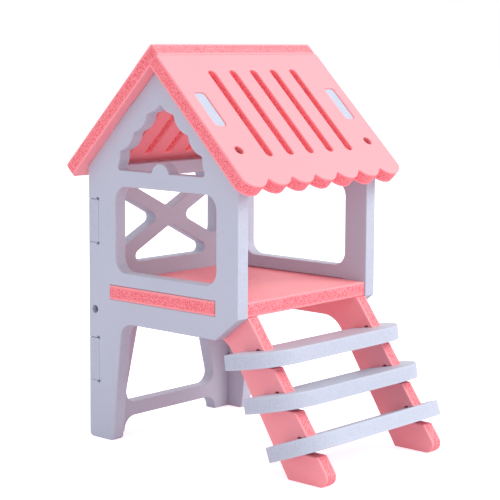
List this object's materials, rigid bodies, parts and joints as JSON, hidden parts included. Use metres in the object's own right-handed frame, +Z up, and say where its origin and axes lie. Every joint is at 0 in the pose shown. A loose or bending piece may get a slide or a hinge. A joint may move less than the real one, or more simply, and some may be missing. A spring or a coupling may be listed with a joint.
{
  "type": "hamster house",
  "caption": "Slot-together board house for a hamster: pitched vented roof, two gable walls with windows, crossed rear window, raised floor and a front ladder.",
  "frame": {"origin": "on the ground under the middle of the whole object, ladder included", "axes": "+X along the ridge to the right gable, +Y from the ladder to the back panel, +Z up"},
  "size_m": [0.082, 0.1128, 0.1387],
  "materials": {
    "white_board": "smooth satin, white coloured sheet board",
    "pink_board": "smooth satin, pink coloured sheet board with a deeper speckled core",
    "screw_steel": "plain"
  },
  "bodies": {
    "root": {"gable_left": "white_board", "gable_right": "white_board", "back_panel": "white_board", "floor_panel": "pink_board", "roof_front": "pink_board", "roof_back": "pink_board", "stringer_left": "pink_board", "stringer_right": "pink_board", "tread_top": "white_board", "tread_middle": "white_board", "tread_bottom": "white_board", "roof_screws": "screw_steel", "side_screws": "screw_steel"}
  },
  "joints": []
}
